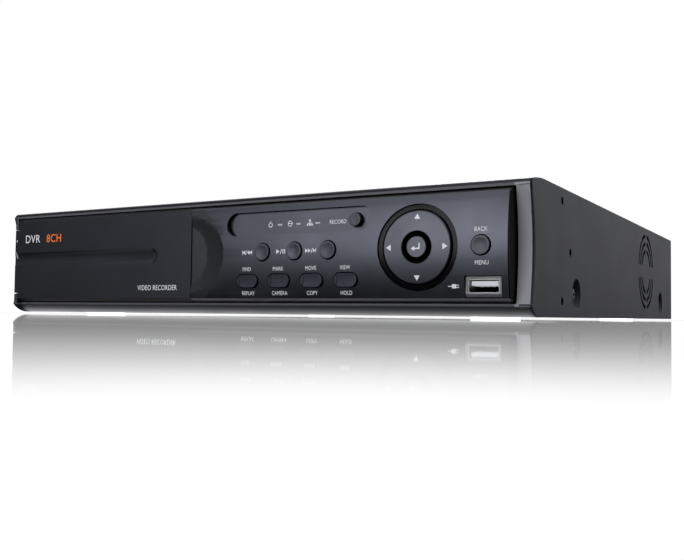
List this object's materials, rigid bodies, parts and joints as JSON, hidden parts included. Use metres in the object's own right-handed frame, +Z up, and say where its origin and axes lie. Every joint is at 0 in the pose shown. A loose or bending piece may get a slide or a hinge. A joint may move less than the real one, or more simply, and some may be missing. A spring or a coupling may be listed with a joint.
{
  "type": "dvr recorder",
  "caption": "Flat desktop video recorder: folded steel case, moulded front with hinged flap, bulged key panel with four-way pad, side fan vent and rear jacks.",
  "frame": {"origin": "middle of the footprint, at the level the rubber feet stand on", "axes": "+X to the right seen from the front, +Y from the front to the rear panel, +Z up"},
  "size_m": [0.3, 0.3402, 0.0574],
  "materials": {
    "painted_steel": "fine satin powder coat",
    "galvanised_steel": "zinc-coated sheet",
    "screw_black": "black oxide",
    "screw_steel": "zinc plated",
    "foot_rubber": "matt",
    "bezel_plastic": "fine texture, satin",
    "trim_plastic": "satin silver-grey paint",
    "door_plastic": "fine texture, satin",
    "panel_plastic": "satin grey paint",
    "window_plastic": "satin",
    "clear_plastic": "frosted clear",
    "gloss_black": "high gloss",
    "pad_plastic": "satin grey paint",
    "key_plastic": "satin grey paint",
    "key_dark": "satin dark grey",
    "socket_plate": "satin grey",
    "tinned_steel": "tinned",
    "white_plastic": "satin",
    "green_board": "solder mask",
    "black_board": "solder mask",
    "brass": "turned",
    "nickel": "nickel plated",
    "cast_aluminium": "cast and painted",
    "black_aluminium": "anodised black",
    "chip_resin": "matt moulded resin",
    "can_sleeve": "printed sleeve",
    "grey_ribbon": "flat cable",
    "red_lead": "flat cable",
    "fan_black": "moulded",
    "port_black": "moulded",
    "audio_core": "moulded",
    "port_blue": "moulded",
    "terminal_green": "moulded",
    "lamp_resin": "clear resin"
  },
  "bodies": {
    "casing": {"top_cover": "painted_steel", "base_pan": "galvanised_steel", "cover_screws": "screw_black", "feet": "foot_rubber", "trim_frame": "trim_plastic", "bezel_frame": "bezel_plastic", "hinge_pins": "screw_steel", "control_panel": "panel_plastic", "status_window": "window_plastic", "light_pipes": "clear_plastic", "dpad_outer_ring": "gloss_black", "usb_surround": "socket_plate", "usb_shell": "tinned_steel", "usb_tongue": "white_plastic", "front_board": "black_board", "tact_switches": "chip_resin", "status_leds": "lamp_resin", "ribbon_cable": "grey_ribbon", "main_board": "green_board", "board_standoffs": "brass", "inner_screws": "screw_steel", "drive_bracket": "galvanised_steel", "hard_drive": "cast_aluminium", "heatsink": "black_aluminium", "board_chips": "chip_resin", "capacitors": "can_sleeve", "cell_holder": "port_black", "coin_cell": "nickel", "drive_leads": "red_lead", "optical_drive": "galvanised_steel", "optical_bezel": "port_black", "fan_frame": "fan_black", "bnc_shells": "nickel", "bnc_insulators": "white_plastic", "bnc_bodies": "port_black", "audio_jacks": "nickel", "audio_cores": "audio_core", "vga_port": "tinned_steel", "vga_insert": "port_blue", "hdmi_port": "tinned_steel", "network_port": "tinned_steel", "terminal_block": "terminal_green", "power_jack": "port_black", "earth_screw": "screw_steel"},
    "door": {"door": "door_plastic"},
    "rewind_button": {"rewind_button": "key_plastic"},
    "play_button": {"play_button": "key_plastic"},
    "forward_button": {"forward_button": "key_plastic"},
    "menu_button": {"menu_button": "key_plastic"},
    "find_button": {"find_button": "key_dark"},
    "mark_button": {"mark_button": "key_dark"},
    "move_button": {"move_button": "key_dark"},
    "view_button": {"view_button": "key_dark"},
    "record_button": {"record_button": "key_plastic"},
    "enter_button": {"enter_button": "pad_plastic"},
    "eject_button": {"eject_button": "port_black"},
    "dpad_gimbal": {"dpad_gimbal": "port_black"},
    "dpad_rocker": {"dpad_rocker": "pad_plastic", "dpad_inner_ring": "gloss_black"},
    "fan_rotor": {"fan_rotor": "fan_black"}
  },
  "joints": [
    {"name": "door_hinge", "type": "hinge", "parent": "casing", "child": "door", "pos_m": [-0.1451, -0.16407, 0.0292], "axis": [0, 0, -1], "range_deg": [0, 100]},
    {"name": "fan_spin", "type": "hinge", "parent": "casing", "child": "fan_rotor", "pos_m": [0.14075, 0.06588, 0.03], "axis": [1, 0, 0], "continuous": true},
    {"name": "rewind_press", "type": "slide", "parent": "casing", "child": "rewind_button", "axis": [0, 1, 0], "range_m": [0, 0.0007], "stiffness_N_per_m": 400, "springref_m": -0.0005},
    {"name": "play_press", "type": "slide", "parent": "casing", "child": "play_button", "axis": [0, 1, 0], "range_m": [0, 0.0007], "stiffness_N_per_m": 400, "springref_m": -0.0005},
    {"name": "forward_press", "type": "slide", "parent": "casing", "child": "forward_button", "axis": [0, 1, 0], "range_m": [0, 0.0007], "stiffness_N_per_m": 400, "springref_m": -0.0005},
    {"name": "menu_press", "type": "slide", "parent": "casing", "child": "menu_button", "axis": [0, 1, 0], "range_m": [0, 0.0007], "stiffness_N_per_m": 400, "springref_m": -0.0005},
    {"name": "find_press", "type": "slide", "parent": "casing", "child": "find_button", "axis": [0, 1, 0], "range_m": [0, 0.0007], "stiffness_N_per_m": 400, "springref_m": -0.0005},
    {"name": "mark_press", "type": "slide", "parent": "casing", "child": "mark_button", "axis": [0, 1, 0], "range_m": [0, 0.0007], "stiffness_N_per_m": 400, "springref_m": -0.0005},
    {"name": "move_press", "type": "slide", "parent": "casing", "child": "move_button", "axis": [0, 1, 0], "range_m": [0, 0.0007], "stiffness_N_per_m": 400, "springref_m": -0.0005},
    {"name": "view_press", "type": "slide", "parent": "casing", "child": "view_button", "axis": [0, 1, 0], "range_m": [0, 0.0007], "stiffness_N_per_m": 400, "springref_m": -0.0005},
    {"name": "record_press", "type": "slide", "parent": "casing", "child": "record_button", "axis": [0, 1, 0], "range_m": [0, 0.0007], "stiffness_N_per_m": 400, "springref_m": -0.0005},
    {"name": "enter_press", "type": "slide", "parent": "casing", "child": "enter_button", "axis": [0, 1, 0], "range_m": [0, 0.0007], "stiffness_N_per_m": 400, "springref_m": -0.0005},
    {"name": "eject_press", "type": "slide", "parent": "casing", "child": "eject_button", "axis": [0, 1, 0], "range_m": [0, 0.0007], "stiffness_N_per_m": 400, "springref_m": -0.0005},
    {"name": "pad_up_down", "type": "hinge", "parent": "casing", "child": "dpad_gimbal", "pos_m": [0.1032, -0.16462, 0.0292], "axis": [1, 0, 0], "range_deg": [-2, 2], "stiffness_Nm_per_rad": 0.6},
    {"name": "pad_left_right", "type": "hinge", "parent": "dpad_gimbal", "child": "dpad_rocker", "pos_m": [0.1032, -0.16462, 0.0292], "axis": [0, 0, 1], "range_deg": [-2, 2], "stiffness_Nm_per_rad": 0.6}
  ]
}
